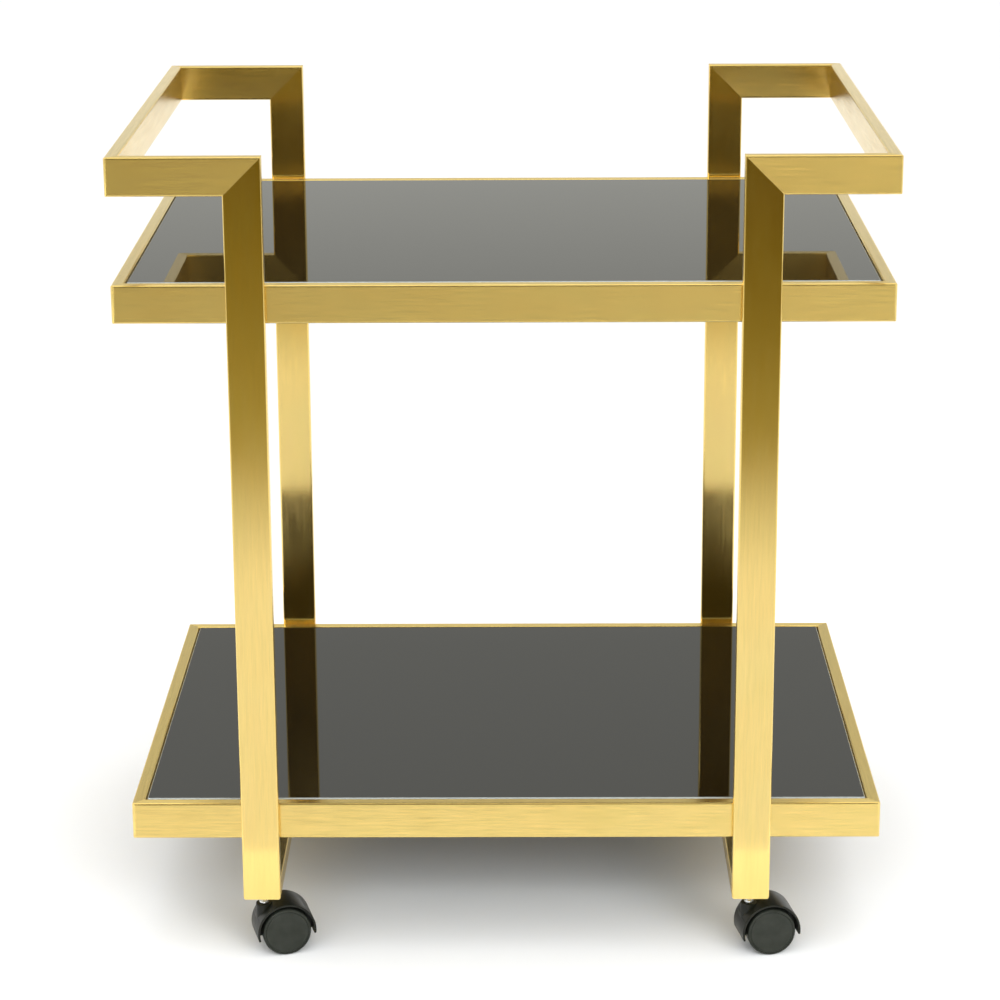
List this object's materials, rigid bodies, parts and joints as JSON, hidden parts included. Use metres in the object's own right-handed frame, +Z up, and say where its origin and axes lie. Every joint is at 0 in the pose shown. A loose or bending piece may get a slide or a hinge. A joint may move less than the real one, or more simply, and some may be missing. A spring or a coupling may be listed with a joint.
{
  "type": "bar cart",
  "caption": "Rolling bar cart with welded rectangular-tube side frames, push handles at both ends, glass shelves in mitred tube frames, and swivel casters.",
  "frame": {"origin": "on the floor, under the middle of the cart at rest", "axes": "+X along the cart from its left handle to its right handle, +Y from front to back, +Z up"},
  "size_m": [0.762, 0.58, 0.833],
  "materials": {
    "brushed_gold": "brushed, lacquered",
    "black_glass": "polished, opaque black, tempered",
    "caster_plastic": "moulded, satin",
    "wheel_plastic": "moulded, satin",
    "zinc_steel": "zinc plated",
    "clear_pvc": "clear, soft"
  },
  "bodies": {
    "cart_frame": {"left_front_leg": "brushed_gold", "left_rear_leg": "brushed_gold", "left_front_arm": "brushed_gold", "left_rear_arm": "brushed_gold", "left_handle_bar": "brushed_gold", "left_foot_rail": "brushed_gold", "right_front_leg": "brushed_gold", "right_rear_leg": "brushed_gold", "right_front_arm": "brushed_gold", "right_rear_arm": "brushed_gold", "right_handle_bar": "brushed_gold", "right_foot_rail": "brushed_gold", "leg_end_plates": "brushed_gold", "caster_bushes": "zinc_steel", "upper_front_rail": "brushed_gold", "upper_rear_rail": "brushed_gold", "upper_left_rail": "brushed_gold", "upper_right_rail": "brushed_gold", "upper_glass": "black_glass", "upper_glass_ledges": "brushed_gold", "upper_glass_pads": "clear_pvc", "upper_shelf_bolts": "zinc_steel", "upper_bolt_washers": "zinc_steel", "upper_rivet_nuts": "zinc_steel", "lower_front_rail": "brushed_gold", "lower_rear_rail": "brushed_gold", "lower_left_rail": "brushed_gold", "lower_right_rail": "brushed_gold", "lower_glass": "black_glass", "lower_glass_ledges": "brushed_gold", "lower_glass_pads": "clear_pvc", "lower_shelf_bolts": "zinc_steel", "lower_bolt_washers": "zinc_steel", "lower_rivet_nuts": "zinc_steel", "front_left_caster_stem": "zinc_steel", "front_right_caster_stem": "zinc_steel", "rear_left_caster_stem": "zinc_steel", "rear_right_caster_stem": "zinc_steel"},
    "front_left_fork": {"front_left_hood": "caster_plastic", "front_left_axle": "zinc_steel", "front_left_snap_ring": "zinc_steel"},
    "front_left_outer_wheel": {"front_left_outer_wheel": "wheel_plastic"},
    "front_left_inner_wheel": {"front_left_inner_wheel": "wheel_plastic"},
    "front_right_fork": {"front_right_hood": "caster_plastic", "front_right_axle": "zinc_steel", "front_right_snap_ring": "zinc_steel"},
    "front_right_outer_wheel": {"front_right_outer_wheel": "wheel_plastic"},
    "front_right_inner_wheel": {"front_right_inner_wheel": "wheel_plastic"},
    "rear_left_fork": {"rear_left_hood": "caster_plastic", "rear_left_axle": "zinc_steel", "rear_left_snap_ring": "zinc_steel"},
    "rear_left_outer_wheel": {"rear_left_outer_wheel": "wheel_plastic"},
    "rear_left_inner_wheel": {"rear_left_inner_wheel": "wheel_plastic"},
    "rear_right_fork": {"rear_right_hood": "caster_plastic", "rear_right_axle": "zinc_steel", "rear_right_snap_ring": "zinc_steel"},
    "rear_right_outer_wheel": {"rear_right_outer_wheel": "wheel_plastic"},
    "rear_right_inner_wheel": {"rear_right_inner_wheel": "wheel_plastic"}
  },
  "joints": [
    {"name": "front_left_swivel", "type": "hinge", "parent": "cart_frame", "child": "front_left_fork", "pos_m": [-0.2495, -0.268, 0.045], "axis": [0, 0, 1], "continuous": true},
    {"name": "front_left_outer_spin", "type": "hinge", "parent": "front_left_fork", "child": "front_left_outer_wheel", "pos_m": [-0.23018, -0.26282, 0.025], "axis": [-0.2588, 0.9659, 0], "continuous": true},
    {"name": "front_left_inner_spin", "type": "hinge", "parent": "front_left_fork", "child": "front_left_inner_wheel", "pos_m": [-0.23018, -0.26282, 0.025], "axis": [-0.2588, 0.9659, 0], "continuous": true},
    {"name": "front_right_swivel", "type": "hinge", "parent": "cart_frame", "child": "front_right_fork", "pos_m": [0.2495, -0.268, 0.045], "axis": [0, 0, 1], "continuous": true},
    {"name": "front_right_outer_spin", "type": "hinge", "parent": "front_right_fork", "child": "front_right_outer_wheel", "pos_m": [0.2692, -0.26453, 0.025], "axis": [-0.1736, 0.9848, 0], "continuous": true},
    {"name": "front_right_inner_spin", "type": "hinge", "parent": "front_right_fork", "child": "front_right_inner_wheel", "pos_m": [0.2692, -0.26453, 0.025], "axis": [-0.1736, 0.9848, 0], "continuous": true},
    {"name": "rear_left_swivel", "type": "hinge", "parent": "cart_frame", "child": "rear_left_fork", "pos_m": [-0.2495, 0.268, 0.045], "axis": [0, 0, 1], "continuous": true},
    {"name": "rear_left_outer_spin", "type": "hinge", "parent": "rear_left_fork", "child": "rear_left_outer_wheel", "pos_m": [-0.23018, 0.26282, 0.025], "axis": [0.2588, 0.9659, 0], "continuous": true},
    {"name": "rear_left_inner_spin", "type": "hinge", "parent": "rear_left_fork", "child": "rear_left_inner_wheel", "pos_m": [-0.23018, 0.26282, 0.025], "axis": [0.2588, 0.9659, 0], "continuous": true},
    {"name": "rear_right_swivel", "type": "hinge", "parent": "cart_frame", "child": "rear_right_fork", "pos_m": [0.2495, 0.268, 0.045], "axis": [0, 0, 1], "continuous": true},
    {"name": "rear_right_outer_spin", "type": "hinge", "parent": "rear_right_fork", "child": "rear_right_outer_wheel", "pos_m": [0.2692, 0.26453, 0.025], "axis": [0.1736, 0.9848, 0], "continuous": true},
    {"name": "rear_right_inner_spin", "type": "hinge", "parent": "rear_right_fork", "child": "rear_right_inner_wheel", "pos_m": [0.2692, 0.26453, 0.025], "axis": [0.1736, 0.9848, 0], "continuous": true}
  ]
}
